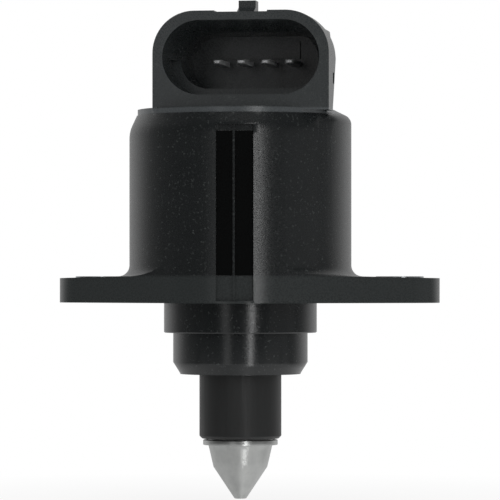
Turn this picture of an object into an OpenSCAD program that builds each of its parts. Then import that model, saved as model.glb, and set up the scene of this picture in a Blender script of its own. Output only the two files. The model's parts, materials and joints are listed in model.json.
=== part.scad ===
// Idle air control valve: a moulded housing with a two-ear flange, a four-way electrical socket on
// top, and a stepper motor inside whose threaded rotor drives a tapered plunger in and out of the
// air passage. The valve axis is Z. The origin lies on that axis in the flange's seating face, the
// plunger points down and the socket faces -Y. All sizes are in millimetres.

/* [Can] */
// Outer radius of the can
can_r = 18.15; // [16:0.05:22]
// Height of the can's rim above the seating face
rim_z = 30.5; // [26:0.1:38]
// Radius of the bend where the can's wall turns in to its shoulder
shoulder_r = 5; // [3:0.1:6]
// Angle of the shoulder's cone from the valve axis
shoulder_angle = 25; // [15:1:30]
// Distance from the rim down to the bend
shoulder_h = 3.7; // [3:0.1:4.5]
// Radius of the bend under the slope beside the socket
slope_bend_r = 1.6; // [0.8:0.1:2.4]
// Angle of that slope from the valve axis
slope_angle = 64; // [50:1:70]
// Distance from the slope's upper edge to the shroud's right side
slope_setback = 0.5; // [0.2:0.1:1]
// Distance from the shroud's right side to where the slope starts on the can
slope_start = 1.5; // [1:0.1:3]
// Wall of the can
can_wall = 1.9; // [1.4:0.1:2.6]
// Thickness of the floor between the stator and the seating face
floor_t = 5; // [4.6:0.1:7]
// Radius of the fillet where the can meets the flange
can_fillet_r = 1.8; // [0.5:0.1:2.5]

/* [Front groove] */
// Width of the groove down the can
groove_w = 6; // [3:0.1:9]
// Depth of the groove
groove_d = 0.9; // [0.3:0.1:1.2]
// Angle of the groove from the socket's side, towards +X
groove_angle = 6; // [-30:1:30]
// Distance from the groove's upper end to the rim
groove_top_gap = 2; // [1.4:0.1:6]
// Distance from the groove's lower end to the seating face
groove_bottom_gap = 0.35; // [0.2:0.05:2]
// Width of the parting ridge inside the groove
ridge_w = 0.35; // [0.2:0.05:1]
// Height of the parting ridge
ridge_h = 0.3; // [0.1:0.05:0.6]
// Offset of the ridge from the groove's middle, towards -X
ridge_offset = 0.15; // [-1:0.05:1]

/* [Flange] */
// Thickness of the flange beside the can
flange_t = 4.3; // [3:0.05:6]
// Drop of an ear's upper face from the can to the ear's tip
ear_drop = 0.3; // [0:0.05:0.6]
// Distance from the valve axis to the left screw hole
left_hole_x = 23.5; // [21.5:0.1:30]
// Distance from the valve axis to the right screw hole
right_hole_x = 26.2; // [21.5:0.1:30]
// Radius of the ears' rounded ends
ear_r = 6.5; // [5.5:0.1:9]
// Radius of the screw holes in the bushes
screw_hole_r = 2.65; // [2:0.05:3.2]
// Wall of the bushes
bush_wall = 1.25; // [0.8:0.05:1.8]

/* [Necks] */
// Radius of the pilot neck that centres the valve
pilot_r = 12.5; // [11.5:0.1:15]
// Length of the pilot neck
pilot_h = 4.9; // [3:0.1:8]
// Chamfer at the pilot neck's lower edge
pilot_chamfer = 0.15; // [0.1:0.05:0.8]
// Radius of the nose neck
nose_r = 11; // [9:0.05:11.4]
// Length of the nose neck's straight part
nose_h = 4.8; // [3:0.05:8]
// Length of the nose neck's tapered part
nose_taper_h = 1.85; // [1:0.05:4]
// Radius at the end of the taper
nose_end_r = 9.85; // [8.6:0.05:10.8]
// Height of the last edge under the taper
nose_lip_h = 0.1; // [0.1:0.05:1]

/* [Plunger] */
// Radius of the plunger sleeve
sleeve_r = 6.7; // [5.8:0.05:6.9]
// Length of sleeve that stands out of the nose at rest
sleeve_out = 10.55; // [9:0.05:16]
// Wall of the sleeve
sleeve_wall = 1.4; // [0.8:0.1:2]
// Chamfer at the sleeve's lower edge
sleeve_chamfer = 0.45; // [0.1:0.05:1]
// Thickness of the sleeve's closed end
sleeve_end_t = 3; // [1.5:0.1:5]
// Running clearance between the sleeve and the nose, on the radius
sleeve_clearance = 0.08; // [0.02:0.01:0.1]
// Travel of the plunger into the housing
travel_in = 8; // [4:0.5:8]
// Travel of the plunger out of the housing
travel_out = 1; // [0:0.5:1]
// Width of the two keys that stop the sleeve turning
key_w = 2.4; // [1.5:0.1:4]
// Height of the keys above the sleeve's surface
key_h = 0.9; // [0.4:0.05:1.1]
// Length of the keys
key_len = 2.5; // [1.5:0.1:2.8]
// Clearance round the keys in their slots
key_clearance = 0.1; // [0.05:0.01:0.2]
// Radius of the cone's shoulder
cone_r = 6.1; // [5.5:0.05:6.5]
// Thickness of the cone's shoulder
cone_shoulder_h = 0.8; // [0.4:0.1:2]
// Width of the gap seen between the sleeve and the cone
cone_gap = 0.22; // [0.1:0.02:0.5]
// Radius under the step below the shoulder
cone_step_r = 5.24; // [4.6:0.02:5.4]
// Length of the first taper
cone_first_h = 3.6; // [2:0.1:6]
// Radius where the second taper starts
cone_mid_r = 4.4; // [3.6:0.05:4.55]
// Length of the second taper
cone_second_h = 5.2; // [3:0.1:9]
// Radius of the flat tip
cone_tip_r = 0.95; // [0.4:0.05:1.6]
// Pitch radius of the lead screw
screw_r = 2.5; // [2:0.05:2.8]
// Radius of the screw's end in the cone
screw_end_r = 1.6; // [1:0.05:1.9]
// Length of the screw's end in the cone
screw_end_h = 5; // [2:0.1:6]
// Running clearance of the thread, on the radius
thread_clearance = 0.05; // [0.02:0.01:0.1]

/* [Front bearing] */
// Width of the front ball bearing
bearing_h = 4; // [3.6:0.1:4.5]
// Outer radius of the ball bearing
bearing_r = 8.5; // [8.3:0.05:8.8]
// Bore radius of the ball bearing
bearing_bore_r = 4; // [3.6:0.05:4.2]
// Radius of the circle through the ball centres
ball_circle_r = 6.25; // [6.1:0.05:6.4]
// Radius of a ball
ball_r = 1.15; // [1:0.05:1.25]
// Number of balls
ball_count = 8; // [6:1:9]
// Radial thickness of each bearing ring
ring_t = 1.5; // [1.3:0.05:1.6]
// Clearance between a ball and its race
race_clearance = 0.05; // [0.02:0.01:0.1]
// Clearance between a ball and its cage pocket
pocket_clearance = 0.1; // [0.05:0.01:0.15]
// Radial thickness of the cage
cage_t = 0.9; // [0.6:0.05:1]
// Width of the cage
cage_h = 2.8; // [2.6:0.1:3.2]

/* [Stator] */
// Depth that the socket moulding's spigot reaches into the can
spigot_h = 3.3; // [2.9:0.1:5]
// Thickness of the steel pole plates
steel_t = 1.2; // [0.8:0.05:1.6]
// Thickness of the pole teeth
tooth_t = 0.8; // [0.5:0.05:1]
// Number of teeth on each pole plate
tooth_count = 6; // [4:1:8]
// Share of the tooth pitch that a tooth takes at its root
tooth_root_share = 0.43; // [0.3:0.01:0.48]
// Share of the tooth pitch that a tooth takes at its tip
tooth_tip_share = 0.2; // [0.1:0.01:0.28]
// Gap between a tooth's tip and the plate that faces it
tooth_tip_gap = 0.4; // [0.2:0.05:1]
// Air gap between the rotor and the teeth
air_gap = 0.3; // [0.2:0.05:0.6]
// Clearance between the stator and the can
stator_clearance = 0.05; // [0.02:0.01:0.15]
// Clearance between the teeth and the bobbins
bobbin_clearance = 0.1; // [0.05:0.01:0.3]
// Wall of the bobbins
bobbin_wall = 0.7; // [0.5:0.05:1]
// Distance from a winding's surface to the edge of its bobbin
winding_inset = 0.3; // [0.1:0.05:0.8]

/* [Rotor] */
// Distance from the magnet's surface to the middle between the hub and the stator's outside
magnet_inset = 1.875; // [1.5:0.025:2.3]
// Radius of the hub inside the magnet
hub_r = 5; // [4.8:0.05:5.3]
// Radius of the hub's rear journal
journal_r = 3.5; // [3.4:0.05:4]
// Length of thread in the hub
thread_h = 16; // [8:0.5:18]
// Radius of the relief above the thread
relief_r = 3; // [2.9:0.05:3.2]
// Distance from the magnet to the front bearing
magnet_front_gap = 1.6; // [0.8:0.1:3]
// Distance from the magnet to the stator's rear face
magnet_rear_gap = 1.6; // [1.5:0.1:3]
// Thickness of the thrust washer
washer_t = 0.7; // [0.4:0.05:0.8]
// End play of the rotor at the rear bush
end_play = 0.3; // [0.2:0.05:0.4]
// Length of the rear bush
rear_bush_h = 3; // [2.4:0.1:3.2]
// Wall of the rear bush
rear_bush_wall = 1.95; // [1:0.05:2.5]
// Running clearance of the rear journal, on the radius
journal_clearance = 0.05; // [0.02:0.01:0.1]

/* [Socket] */
// Radius of the seat ring between the can and the socket
seat_r = 16.8; // [15:0.1:17.4]
// Height of the seat ring above the rim
seat_h = 0.95; // [0.5:0.05:2]
// Offset of the socket's middle from the valve axis, towards +X
socket_x = 1.9; // [0:0.1:3]
// Distance from the valve axis to the socket's front face
face_y = 12; // [11:0.1:14]
// Width of the socket's opening
socket_w = 25.5; // [23:0.1:27]
// Height of the socket's opening
socket_h = 12; // [11:0.1:13]
// Depth of the socket
socket_depth = 22; // [20:0.5:22]
// Wall between the seat ring and the opening
socket_floor_t = 2.05; // [1.6:0.05:4]
// Wall at the left side of the opening
socket_left_t = 1.6; // [0.8:0.05:2.2]
// Wall at the right side of the opening
socket_right_t = 1.2; // [0.8:0.05:1.8]
// Wall over the opening
socket_top_t = 1.5; // [1:0.05:2.5]
// Radius of the shroud's upper corners
shroud_corner_r = 6.8; // [4:0.1:7]
// Length of the shroud's collar along its foot
collar_foot_len = 5; // [4:0.1:8]
// Length of the collar at the height of the socket's middle
collar_side_len = 8.5; // [7:0.1:11]
// Length of the collar along its top
collar_top_len = 3.9; // [3.6:0.1:8]
// Width of the tongue on the collar's top that carries the latch
tongue_w = 12; // [9:0.1:14]
// Length of the tongue from the front face
tongue_len = 12.1; // [11:0.1:14]
// Inset of the socket's inner wall from its opening
inner_inset = 1.4; // [0.8:0.05:1.6]
// Depth at which the inner wall starts in the upper half
upper_step_depth = 4.5; // [3:0.5:7]
// Depth at which the inner wall starts in the lower half
lower_step_depth = 9.5; // [8:0.5:12]
// Depth at which the socket's inner end gets narrower
narrow_depth = 14; // [12.5:0.5:16]
// Inset of the narrow inner end
narrow_inset = 1.2; // [0.5:0.1:1.6]
// Wall over the inner part of the socket, behind the collar
rear_wall_t = 1.6; // [1:0.05:2]
// Wall at the sides of the opening, behind the collar
rear_side_t = 0.6; // [0.5:0.05:1]
// Inset of each side at the back of the head
rear_taper = 1.85; // [0.5:0.05:2]
// Radius of the upper edges behind the collar
rear_corner_r = 4.5; // [3:0.1:5]
// Chamfer on the upright edges at the back
rear_chamfer = 2; // [0.5:0.1:2.5]
// Width of the ledge over the terminals
ledge_w = 13.2; // [8:0.1:15]
// Height of the ledge
ledge_h = 2.9; // [1:0.1:3.2]
// Length that the ledge stands out of the socket's inner end
ledge_len = 1.5; // [0.5:0.1:3]
// Distance from the terminals' middle up to the ledge
ledge_gap = 0.9; // [0.6:0.1:1.2]

/* [Latch] */
// Width of the latch on top of the shroud
latch_w = 2.8; // [1.5:0.1:6]
// Height of the latch
latch_h = 2.05; // [1:0.05:3]
// Distance from the front face to the foot of the latch's ramp
latch_setback = 4.4; // [2:0.1:6]
// Length of the ramp
latch_ramp_len = 2.6; // [1:0.1:4]
// Height of the ramp
latch_ramp_h = 1.15; // [0.3:0.05:1.3]
// Length of the latch's flat top
latch_top_len = 2.8; // [1:0.1:4]
// Width of the shallow seat round the latch
latch_seat_w = 8.6; // [6.5:0.1:12]
// Depth of the seat
latch_seat_d = 0.22; // [0.1:0.02:0.5]
// Height of the notch in the shroud's right side
notch_h = 1.8; // [0.8:0.1:4]
// Length of the notch
notch_len = 1.6; // [0.8:0.1:2]
// Depth of the notch
notch_d = 0.45; // [0.2:0.05:0.6]
// Distance from the front face to the notch
notch_setback = 5; // [3:0.1:5.2]
// Height of the notch above the seat ring
notch_rise = 3.9; // [1:0.1:8]

/* [Terminals] */
// Number of terminals
TERMINAL_COUNT = 4; // [4]
// Distance between terminals
terminal_pitch = 4; // [3:0.05:4.2]
// Width of a terminal
terminal_w = 1.5; // [0.8:0.05:1.8]
// Thickness of a terminal
terminal_t = 0.8; // [0.5:0.05:1]
// Depth of the terminals' tips behind the front face
tip_depth = 13; // [12.5:0.5:15]
// Length of the taper at a terminal's tip
tip_taper = 0.9; // [0.3:0.1:2]
// Share of its size that a terminal keeps at the tip
tip_share = 0.55; // [0.3:0.05:0.8]
// Wall behind the socket that holds the terminals
back_wall = 2; // [1.6:0.1:3]
// Clearance round the terminals in the rear pole cup
leg_clearance = 0.2; // [0.1:0.05:0.3]

/* [Hidden] */

$fn = 96;
cut = 1;                // How far a cutting shape passes the face that it cuts
flank_inset = 0.05;     // Distance of an ear's flanks inside the line that touches both circles
rear_start = 3;         // Distance from the front face to where the rear body starts in the collar
well_roof_t = 1.6;      // Wall between the lead screw's well and the socket
well_clearance = 0.7;   // Room round the lead screw in its well
black = "#26292a";
steel = "#a9adb0";
copper = "#b4693a";

cavity_r = can_r - can_wall;
spigot_r = cavity_r - stator_clearance;
stator_r = cavity_r - stator_clearance;
stack_top_z = rim_z - spigot_h;
stack_mid_z = (floor_t + stack_top_z) / 2;
phase_h = stack_mid_z - floor_t;
magnet_r = (hub_r + stator_r) / 2 - magnet_inset;
tooth_in_r = magnet_r + air_gap;
tooth_out_r = tooth_in_r + tooth_t;
tooth_pitch = 360 / tooth_count;
bobbin_in_r = tooth_out_r + bobbin_clearance;
bobbin_out_r = stator_r - steel_t - bobbin_clearance;
bobbin_h = phase_h - 2 * steel_t;

bush_r = screw_hole_r + bush_wall;
pilot_z = -pilot_h;
nose_z = pilot_z - nose_h - nose_taper_h - nose_lip_h;
nose_bore_r = sleeve_r + sleeve_clearance;
key_slot_r = sleeve_r + key_h + key_clearance;
end_gap = 0.3;          // Room left past the plunger at each end of its travel

bearing_z = floor_t - bearing_h;
bearing_mid_z = bearing_z + bearing_h / 2;
inner_ring_r = bearing_bore_r + ring_t;
outer_ring_r = bearing_r - ring_t;
race_r = ball_r + race_clearance;

sleeve_top_z = bearing_z - travel_in - end_gap;
sleeve_end_z = nose_z - sleeve_out;
key_slot_z = sleeve_top_z - key_len - travel_out - end_gap;
cone_top_z = sleeve_end_z - cone_gap;
cone_step_z = cone_top_z - cone_shoulder_h;
cone_mid_z = cone_step_z - cone_first_h;
cone_tip_z = cone_mid_z - cone_second_h;

magnet_z = floor_t + magnet_front_gap;
magnet_top_z = stack_top_z - magnet_rear_gap;
washer_z = stack_top_z - end_play - washer_t;
rear_bush_r = journal_r + journal_clearance + rear_bush_wall;
journal_end_z = stack_top_z + rear_bush_h - end_play;
seat_z = rim_z + seat_h;
well_z = seat_z + socket_floor_t - well_roof_t;
well_r = screw_r + well_clearance;
screw_top_z = well_z - travel_in - end_gap;

socket_z = seat_z + socket_floor_t + socket_h / 2;
shroud_left_x = socket_x - socket_w / 2 - socket_left_t;
shroud_right_x = socket_x + socket_w / 2 + socket_right_t;
shroud_x = (shroud_left_x + shroud_right_x) / 2;
shroud_w = shroud_right_x - shroud_left_x;
shroud_top_z = socket_z + socket_h / 2 + socket_top_t;
floor_y = socket_depth - face_y;
back_y = floor_y + back_wall;
inner_w = socket_w - 2 * inner_inset;
inner_h = socket_h - 2 * inner_inset;
rear_w = socket_w + 2 * rear_side_t;
rear_top_z = socket_z + inner_h / 2 + rear_wall_t;
slope_x = shroud_right_x - slope_start;
slope_top_r = shroud_right_x - slope_setback;
slope_bend_end_r = can_r - slope_bend_r * (1 - cos(slope_angle));
slope_bend_end_z = seat_z - (slope_bend_end_r - slope_top_r) / tan(slope_angle);
slope_bend_z = slope_bend_end_z - slope_bend_r * sin(slope_angle);
leg_y = floor_y + back_wall / 2;
leg_end_z = stack_top_z - steel_t;
tip_y = tip_depth - face_y;

// The cylinder wall between two radii and two heights
module tube(r_in, r_out, z_from, z_to) {
    translate([0, 0, z_from]) difference() {
        cylinder(r = r_out, h = z_to - z_from);
        translate([0, 0, -cut]) cylinder(r = r_in, h = z_to - z_from + 2 * cut);
    }
}

// A cylinder between two heights
module rod(r, z_from, z_to) {
    translate([0, 0, z_from]) cylinder(r = r, h = z_to - z_from);
}

// Extrudes an outline drawn in X and Z from one Y to another
module along_y(y_from, y_to) {
    translate([0, y_to, 0]) rotate([90, 0, 0]) linear_extrude(y_to - y_from) children();
}

// A slot with round ends, lying along X round the middle of the socket
module stadium(w, h) {
    translate([socket_x, socket_z]) {
        square([w - h, h], center = true);
        for (side = [-1, 1]) translate([side * (w - h) / 2, 0]) circle(d = h);
    }
}

// An upright outline round a middle at x, with rounded upper corners
module arch(x, w, z_from, z_to, r) {
    translate([x, 0]) {
        translate([-w / 2, z_from]) square([w, z_to - r - z_from]);
        translate([r - w / 2, z_from]) square([w - 2 * r, z_to - z_from]);
        for (side = [-1, 1]) translate([side * (w / 2 - r), z_to - r]) circle(r = r);
    }
}

// The plan of one ear: a round end joined to the can by two flanks, each a little inside the
// line that touches both circles
module ear_plan(hole_x) {
    reach = abs(hole_x);
    side = sign(hole_x);
    a = acos((can_r - ear_r) / reach);
    inner_r = can_r - flank_inset;
    outer_r = ear_r - flank_inset;
    translate([hole_x, 0]) circle(r = ear_r);
    polygon([[0, 0],
        [side * inner_r * cos(a), inner_r * sin(a)],
        [side * (reach + outer_r * cos(a)), outer_r * sin(a)],
        [side * (reach + outer_r * cos(a)), -outer_r * sin(a)],
        [side * inner_r * cos(a), -inner_r * sin(a)]]);
}

module flange_plan() {
    ear_plan(-left_hole_x);
    ear_plan(right_hole_x);
    circle(r = can_r);
}

// Takes the slope off the upper face of one ear
module ear_slope(hole_x) {
    run = abs(hole_x) + ear_r - can_r;
    side = sign(hole_x);
    end_x = side * (can_r + run + cut);
    end_z = flange_t - ear_drop * (run + cut) / run;
    along_y(-ear_r - can_r, ear_r + can_r)
        polygon([[side * can_r, flange_t], [end_x, end_z], [end_x, flange_t + cut],
            [side * can_r, flange_t + cut]]);
}

// A round body of the can's radius, whose wall turns in above bend_z by an arc and then a cone
module shouldered(bend_z, bend_r, angle, top_z) {
    arc_end_r = can_r - bend_r * (1 - cos(angle));
    arc_end_z = bend_z + bend_r * sin(angle);
    top_r = arc_end_r - (top_z - arc_end_z) * tan(angle);
    rotate_extrude() {
        square([can_r, bend_z]);
        polygon([[0, bend_z], [can_r - bend_r, bend_z], [arc_end_r, arc_end_z], [top_r, top_z],
            [0, top_z]]);
        translate([can_r - bend_r, bend_z]) intersection() {
            circle(r = bend_r);
            square([bend_r, bend_r * sin(angle)]);
        }
    }
}

// The fuller shoulder beside the socket, between two heights
module side_slope(z_from, z_to) {
    intersection() {
        shouldered(slope_bend_z, slope_bend_r, slope_angle, seat_z);
        translate([slope_x, -can_r, z_from]) cube([can_r, 2 * can_r, z_to - z_from]);
    }
}

// The concave fillet over the flange, all round the can
module can_fillet() {
    rotate_extrude() translate([can_r - cut, flange_t - ear_drop - cut]) difference() {
        square([can_fillet_r + cut, can_fillet_r + ear_drop + cut]);
        translate([can_fillet_r + cut, can_fillet_r + ear_drop + cut]) circle(r = can_fillet_r);
    }
}

module neck_form() {
    nose_edge_z = pilot_z - nose_h;
    rotate_extrude() polygon([[0, cut], [pilot_r, cut], [pilot_r, pilot_z + pilot_chamfer],
        [pilot_r - pilot_chamfer, pilot_z], [nose_r, pilot_z], [nose_r, nose_edge_z],
        [nose_end_r, nose_edge_z - nose_taper_h], [nose_end_r, nose_z], [0, nose_z]]);
}

// The flat-bottomed groove down the can, less the ridge that stands in it
module groove_cut() {
    groove_bottom_z = groove_bottom_gap;
    groove_h = rim_z - groove_top_gap - groove_bottom_gap;
    groove_floor_y = groove_d - can_r;
    rotate([0, 0, groove_angle]) translate([0, 0, groove_bottom_z]) difference() {
        translate([-groove_w / 2, -can_r - cut, 0]) cube([groove_w, groove_d + cut, groove_h]);
        translate([-ridge_offset - ridge_w / 2, groove_floor_y - ridge_h, -cut])
            cube([ridge_w, ridge_h + cut, groove_h + 2 * cut]);
    }
}

// A bar across the axis that both key slots or both keys are cut from
module key_bar(w, r, z_from, z_to) {
    intersection() {
        translate([-w / 2, -r - cut, z_from]) cube([w, 2 * (r + cut), z_to - z_from]);
        rod(r, z_from - cut, z_to + cut);
    }
}

module housing() {
    color(black) difference() {
        union() {
            shouldered(rim_z - shoulder_h, shoulder_r, shoulder_angle, rim_z);
            side_slope(flange_t, rim_z);
            difference() {
                linear_extrude(flange_t) flange_plan();
                ear_slope(-left_hole_x);
                ear_slope(right_hole_x);
            }
            intersection() {
                can_fillet();
                linear_extrude(rim_z) flange_plan();
            }
            neck_form();
        }
        rod(cavity_r, floor_t, rim_z + cut);
        rod(bearing_r, bearing_z, floor_t + cut);
        rod(nose_bore_r, nose_z - cut, bearing_z + cut);
        key_bar(key_w + 2 * key_clearance, key_slot_r, key_slot_z, bearing_z + cut);
        groove_cut();
        for (x = [-left_hole_x, right_hole_x]) translate([x, 0, 0]) rod(bush_r, -cut, flange_t + cut);
    }
}

module flange_bush(x) {
    color(steel) translate([x, 0, 0]) tube(screw_hole_r, bush_r, 0, flange_t);
}

// The socket's space: a full-width mouth with a high and a low step, a narrower inner part and
// a still narrower end
module socket_space() {
    along_y(-face_y - cut, upper_step_depth - face_y) stadium(socket_w, socket_h);
    along_y(-face_y - cut, narrow_depth - face_y) stadium(inner_w, inner_h);
    along_y(-face_y - cut, floor_y) stadium(inner_w - 2 * narrow_inset, inner_h);
    along_y(-face_y - cut, lower_step_depth - face_y) intersection() {
        stadium(socket_w, socket_h);
        translate([socket_x - socket_w / 2, socket_z - socket_h / 2]) square([socket_w, socket_h / 2]);
    }
}

module ledge() {
    translate([socket_x - ledge_w / 2, floor_y - ledge_len, socket_z + ledge_gap])
        cube([ledge_w, ledge_len + cut, ledge_h]);
}

// The seat ring, cut off beside the socket, where the slope takes its place
module seat() {
    difference() {
        rod(seat_r, rim_z, seat_z);
        translate([slope_x, -can_r, rim_z - cut]) cube([can_r, 2 * can_r, seat_h + 2 * cut]);
    }
    side_slope(rim_z, seat_z);
}

// The collar round the socket's mouth, longest at the height of the socket's middle, with a
// tongue on its top for the latch
module collar() {
    intersection() {
        along_y(-face_y, tongue_len - face_y)
            arch(shroud_x, shroud_w, rim_z + seat_h / 2, shroud_top_z, shroud_corner_r);
        translate([shroud_left_x - cut, -face_y, 0]) rotate([90, 0, 90])
            linear_extrude(shroud_w + 2 * cut)
                polygon([[-cut, rim_z], [collar_foot_len, rim_z], [collar_foot_len, seat_z],
                    [collar_side_len, socket_z], [collar_top_len, shroud_top_z],
                    [collar_top_len, shroud_top_z + cut], [-cut, shroud_top_z + cut]]);
    }
    translate([socket_x - tongue_w / 2, -face_y, rear_top_z - cut])
        cube([tongue_w, tongue_len, shroud_top_z - rear_top_z + cut]);
}

// The head behind the collar, tapered towards its back
module rear_body() {
    side = rear_w / 2;
    back = side - rear_taper;
    taper_y = lower_step_depth - face_y;
    intersection() {
        along_y(-face_y + rear_start, back_y)
            arch(socket_x, rear_w, rim_z + seat_h / 2, rear_top_z, rear_corner_r);
        translate([socket_x, 0, rim_z]) linear_extrude(shroud_top_z)
            polygon([[-side, -face_y], [side, -face_y], [side, taper_y],
                [back, back_y - rear_chamfer], [back - rear_chamfer, back_y],
                [rear_chamfer - back, back_y], [-back, back_y - rear_chamfer], [-side, taper_y]]);
    }
}

// The latch's side profile, drawn in Y and Z, pushed along X
module latch() {
    foot_y = latch_setback - face_y;
    ramp_y = foot_y + latch_ramp_len;
    foot_z = shroud_top_z - latch_seat_d;
    translate([socket_x - latch_w / 2, 0, 0]) rotate([90, 0, 90]) linear_extrude(latch_w)
        polygon([[foot_y, foot_z - cut], [foot_y, foot_z], [ramp_y, foot_z + latch_ramp_h],
            [ramp_y, foot_z + latch_seat_d + latch_h],
            [ramp_y + latch_top_len, foot_z + latch_seat_d + latch_h],
            [ramp_y + latch_top_len, foot_z - cut]]);
}

module latch_seat() {
    translate([socket_x - latch_seat_w / 2, -face_y - cut, shroud_top_z - latch_seat_d])
        cube([latch_seat_w, tongue_len + 2 * cut, latch_seat_d + cut]);
}

module side_notch() {
    translate([shroud_right_x - notch_d, notch_setback - face_y, seat_z + notch_rise])
        cube([notch_d + cut, notch_len, notch_h]);
}

// One terminal: a blade in the socket and a leg down to the rear bobbin
module terminal_form(index) {
    x = socket_x + (index - (TERMINAL_COUNT + 1) / 2) * terminal_pitch;
    tip_w = terminal_w * tip_share;
    tip_t = terminal_t * tip_share;
    leg_back_y = leg_y + terminal_t / 2;
    translate([x, 0, socket_z]) intersection() {
        linear_extrude(terminal_t, center = true)
            polygon([[-tip_w / 2, tip_y], [tip_w / 2, tip_y], [terminal_w / 2, tip_y + tip_taper],
                [terminal_w / 2, leg_back_y], [-terminal_w / 2, leg_back_y],
                [-terminal_w / 2, tip_y + tip_taper]]);
        translate([-terminal_w, 0, 0]) rotate([90, 0, 90]) linear_extrude(2 * terminal_w)
            polygon([[tip_y, -tip_t / 2], [tip_y, tip_t / 2], [tip_y + tip_taper, terminal_t / 2],
                [leg_back_y, terminal_t / 2], [leg_back_y, -terminal_t / 2],
                [tip_y + tip_taper, -terminal_t / 2]]);
    }
    translate([x - terminal_w / 2, leg_y - terminal_t / 2, leg_end_z])
        cube([terminal_w, terminal_t, socket_z - leg_end_z]);
}

module terminal(index) {
    color("#d8dadc") terminal_form(index);
}

module connector_head() {
    color(black) difference() {
        union() {
            seat();
            difference() {
                collar();
                latch_seat();
                side_notch();
            }
            rear_body();
            latch();
            rod(spigot_r, stack_top_z, rim_z);
        }
        difference() {
            socket_space();
            ledge();
        }
        rod(rear_bush_r, stack_top_z - cut, stack_top_z + rear_bush_h);
        rod(well_r, stack_top_z - cut, well_z);
        for (i = [1 : TERMINAL_COUNT]) terminal_form(i);
    }
}

// A ring of tapered teeth that rise from z = 0 to the given length
module teeth(len) {
    mid_r = (tooth_in_r + tooth_out_r) / 2;
    root_w = 2 * mid_r * sin(tooth_pitch * tooth_root_share / 2);
    tip_w = 2 * mid_r * sin(tooth_pitch * tooth_tip_share / 2);
    intersection() {
        tube(tooth_in_r, tooth_out_r, 0, len);
        for (i = [0 : tooth_count - 1]) rotate([0, 0, i * tooth_pitch])
            along_y(tooth_in_r / 2, tooth_out_r + cut)
                polygon([[-root_w / 2, -cut], [root_w / 2, -cut], [root_w / 2, 0],
                    [tip_w / 2, len], [-tip_w / 2, len], [-root_w / 2, 0]]);
    }
}

// A pole cup standing on its base, teeth up
module pole_cup() {
    tube(tooth_in_r, stator_r, 0, steel_t);
    tube(stator_r - steel_t, stator_r, 0, phase_h - steel_t);
    translate([0, 0, steel_t]) teeth(phase_h - 2 * steel_t - tooth_tip_gap);
}

// A flat pole plate, teeth up
module pole_plate() {
    tube(tooth_in_r, stator_r, 0, steel_t);
    translate([0, 0, steel_t]) teeth(phase_h - 2 * steel_t - tooth_tip_gap);
}

module front_pole_cup() {
    color(steel) translate([0, 0, floor_t]) pole_cup();
}

module front_pole_plate() {
    color(steel) translate([0, 0, stack_mid_z]) rotate([180, 0, tooth_pitch / 2]) pole_plate();
}

module rear_pole_plate() {
    color(steel) translate([0, 0, stack_mid_z]) rotate([0, 0, tooth_pitch / 4]) pole_plate();
}

// The rear cup is turned a quarter of a pitch, and has a window for the terminals' legs
module rear_pole_cup() {
    row_w = (TERMINAL_COUNT - 1) * terminal_pitch + terminal_w + 2 * leg_clearance;
    slot_t = terminal_t + 2 * leg_clearance;
    color(steel) difference() {
        translate([0, 0, stack_top_z]) rotate([180, 0, tooth_pitch * 3 / 4]) pole_cup();
        translate([socket_x - row_w / 2, leg_y - slot_t / 2, leg_end_z - cut])
            cube([row_w, slot_t, steel_t + 2 * cut]);
    }
}

module bobbin(z) {
    color("#c9b78a") translate([0, 0, z]) {
        tube(bobbin_in_r, bobbin_in_r + bobbin_wall, 0, bobbin_h);
        tube(bobbin_in_r, bobbin_out_r, 0, bobbin_wall);
        tube(bobbin_in_r, bobbin_out_r, bobbin_h - bobbin_wall, bobbin_h);
    }
}

module winding(z) {
    color(copper) tube(bobbin_in_r + bobbin_wall, bobbin_out_r - winding_inset, z + bobbin_wall,
        z + bobbin_h - bobbin_wall);
}

module rotor_magnet() {
    color("#3a3c40") tube(hub_r, magnet_r, magnet_z, magnet_top_z);
}

// The hub: a thread in its lower part, a relief above it and a journal at each end
module rotor_hub() {
    color("#b8a15a") difference() {
        union() {
            rod(bearing_bore_r, bearing_z, floor_t);
            rod(hub_r, floor_t, washer_z);
            rod(journal_r, washer_z, journal_end_z);
        }
        rod(screw_r + thread_clearance, bearing_z - cut, bearing_z + thread_h + cut);
        rod(relief_r, bearing_z + thread_h, journal_end_z + cut);
    }
}

module race_groove() {
    translate([0, 0, bearing_mid_z]) rotate_extrude()
        translate([ball_circle_r, 0]) circle(r = race_r, $fn = 48);
}

module bearing_inner_ring() {
    color(steel) difference() {
        tube(bearing_bore_r, inner_ring_r, bearing_z, floor_t);
        race_groove();
    }
}

module bearing_outer_ring() {
    color(steel) difference() {
        tube(outer_ring_r, bearing_r, bearing_z, floor_t);
        race_groove();
    }
}

module ball_set(r) {
    for (i = [0 : ball_count - 1]) rotate([0, 0, i * 360 / ball_count])
        translate([ball_circle_r, 0, bearing_mid_z]) sphere(r = r, $fn = 48);
}

module bearing_balls() {
    color("#c4c7ca") ball_set(ball_r);
}

module bearing_cage() {
    color("#c9b78a") difference() {
        tube(ball_circle_r - cage_t / 2, ball_circle_r + cage_t / 2, bearing_mid_z - cage_h / 2,
            bearing_mid_z + cage_h / 2);
        ball_set(ball_r + pocket_clearance);
    }
}

module rear_bush() {
    color("#a98a55") tube(journal_r + journal_clearance, rear_bush_r, stack_top_z,
        stack_top_z + rear_bush_h);
}

module thrust_washer() {
    color(steel) tube(journal_r, hub_r, washer_z, washer_z + washer_t);
}

module lead_screw() {
    color(steel) {
        rod(screw_r, sleeve_end_z, screw_top_z);
        rod(screw_end_r, sleeve_end_z - screw_end_h, sleeve_end_z);
    }
}

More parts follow.
